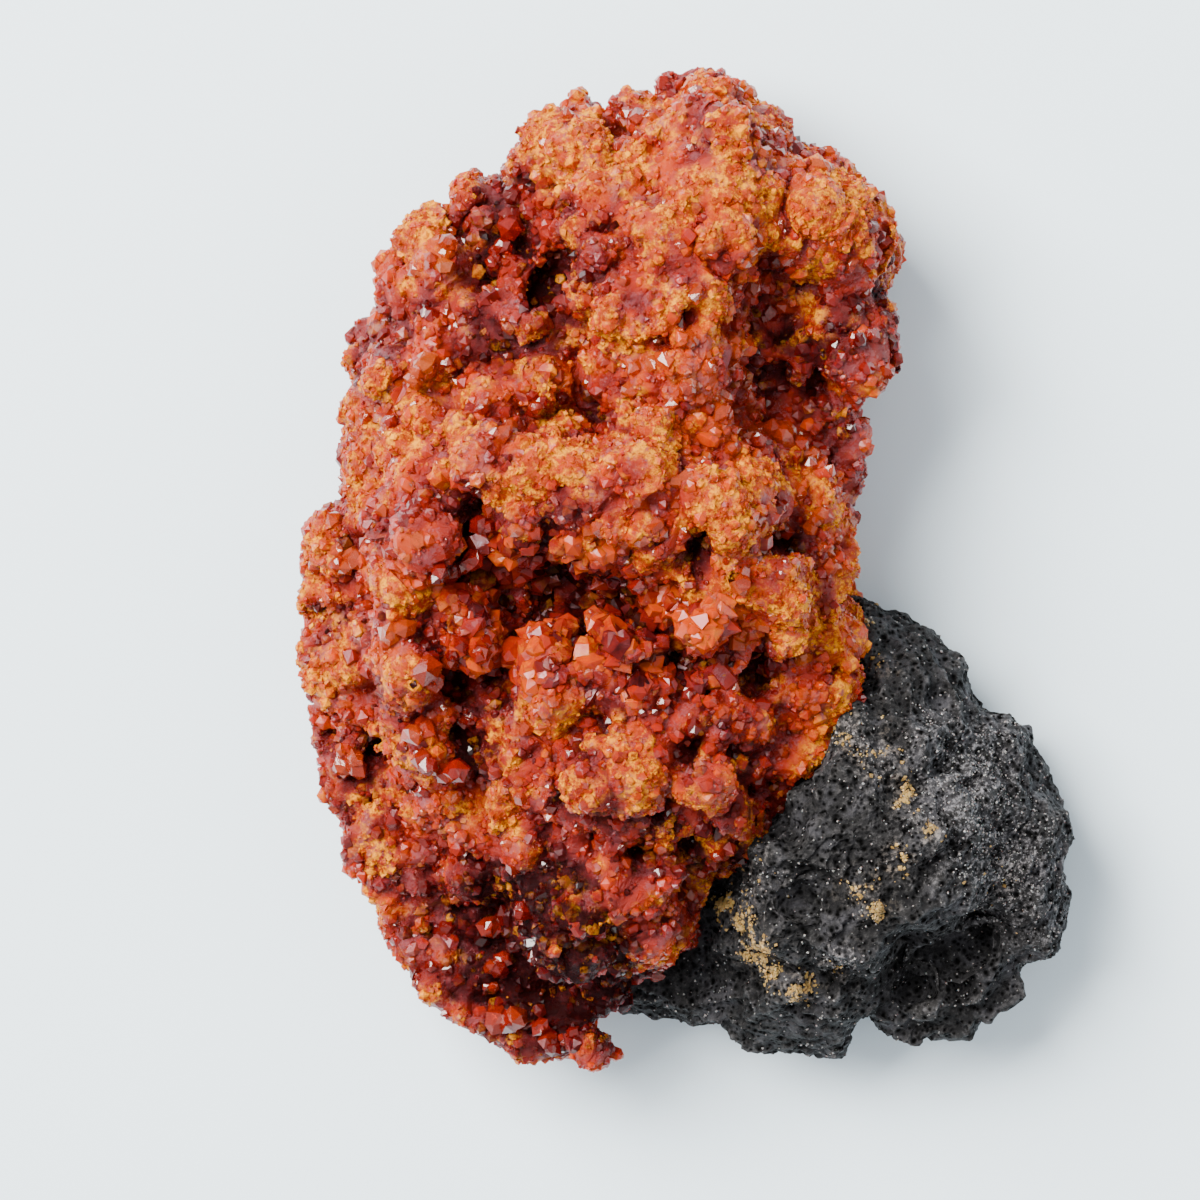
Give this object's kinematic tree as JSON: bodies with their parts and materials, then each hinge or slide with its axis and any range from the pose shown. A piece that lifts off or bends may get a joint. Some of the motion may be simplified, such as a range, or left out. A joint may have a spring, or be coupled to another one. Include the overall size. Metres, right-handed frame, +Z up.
{
  "type": "zincite on matrix",
  "caption": "Orange-red crust of zincite crystals, with a druse-lined hollow, grown over a piece of black vesicular rock.",
  "frame": {"origin": "centre of the specimen's length and width, on the surface that it lies on", "axes": "+Z up from that surface, +Y along the specimen's length from the rock to the far end of the zincite, +X to the right as seen from above"},
  "size_m": [0.0524, 0.0674, 0.0261],
  "materials": {
    "matrix_rock": "rough, vesicular, black to dark grey with pale and tan specks",
    "zincite": "crystalline, orange to deep red, glassy facets under a tan-orange frosting",
    "zincite_druse": "glassy dark red crystals"
  },
  "bodies": {
    "root": {"matrix": "matrix_rock", "zincite_crust": "zincite", "hollow_druse": "zincite_druse"}
  },
  "joints": []
}
